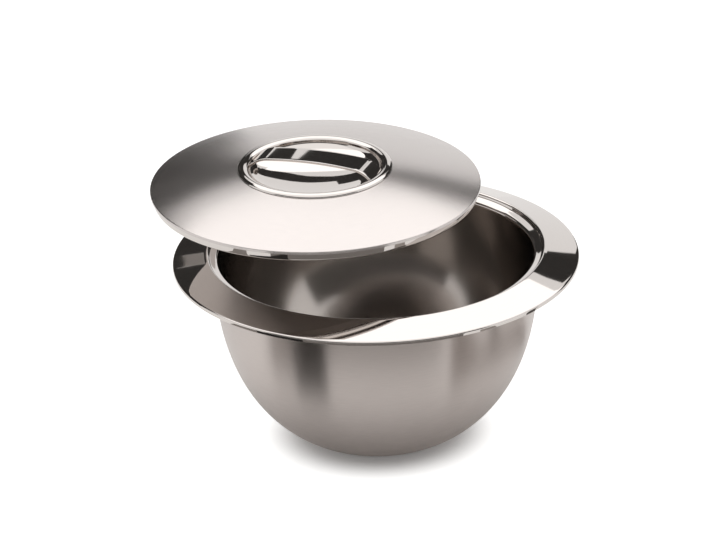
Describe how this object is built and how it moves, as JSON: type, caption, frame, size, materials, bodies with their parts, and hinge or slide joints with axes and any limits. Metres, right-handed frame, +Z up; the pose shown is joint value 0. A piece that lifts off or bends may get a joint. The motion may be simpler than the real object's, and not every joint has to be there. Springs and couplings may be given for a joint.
{
  "type": "insulated bowl with lid",
  "caption": "Double-walled stainless serving bowl with a wide sloping rim and a loose insulated lid with a sunk strap handle.",
  "frame": {"origin": "centre of the foot, on the table", "axes": "+Z up along the bowl's axis, +X to the right and +Y away from the viewer of the picture; the lid is held up and to the back left, out of its seat"},
  "size_m": [0.3043, 0.29, 0.2111],
  "materials": {
    "brushed_steel": "satin brushed stainless steel, ground around the bowl",
    "lid_steel": "satin stainless steel, brushed in rings about the lid's axis",
    "polished_steel": "mirror polished stainless steel",
    "foam": "poured insulating foam, out of sight",
    "plug_rubber": "black rubber stopper, out of sight"
  },
  "bodies": {
    "bowl": {"outer_shell": "brushed_steel", "inner_bowl": "polished_steel", "bowl_insulation": "foam", "fill_plug": "plug_rubber", "base_plate": "polished_steel"},
    "lid": {"lid_cover": "lid_steel", "lid_liner": "polished_steel", "lid_insulation": "foam", "handle_cup": "polished_steel", "handle_strap": "polished_steel"}
  },
  "joints": [
    {"name": "lid_slide", "type": "slide", "parent": "bowl", "child": "lid", "axis": [-0.6977, 0.1828, 0.6927], "range_m": [-0.0596, 0.1]}
  ]
}
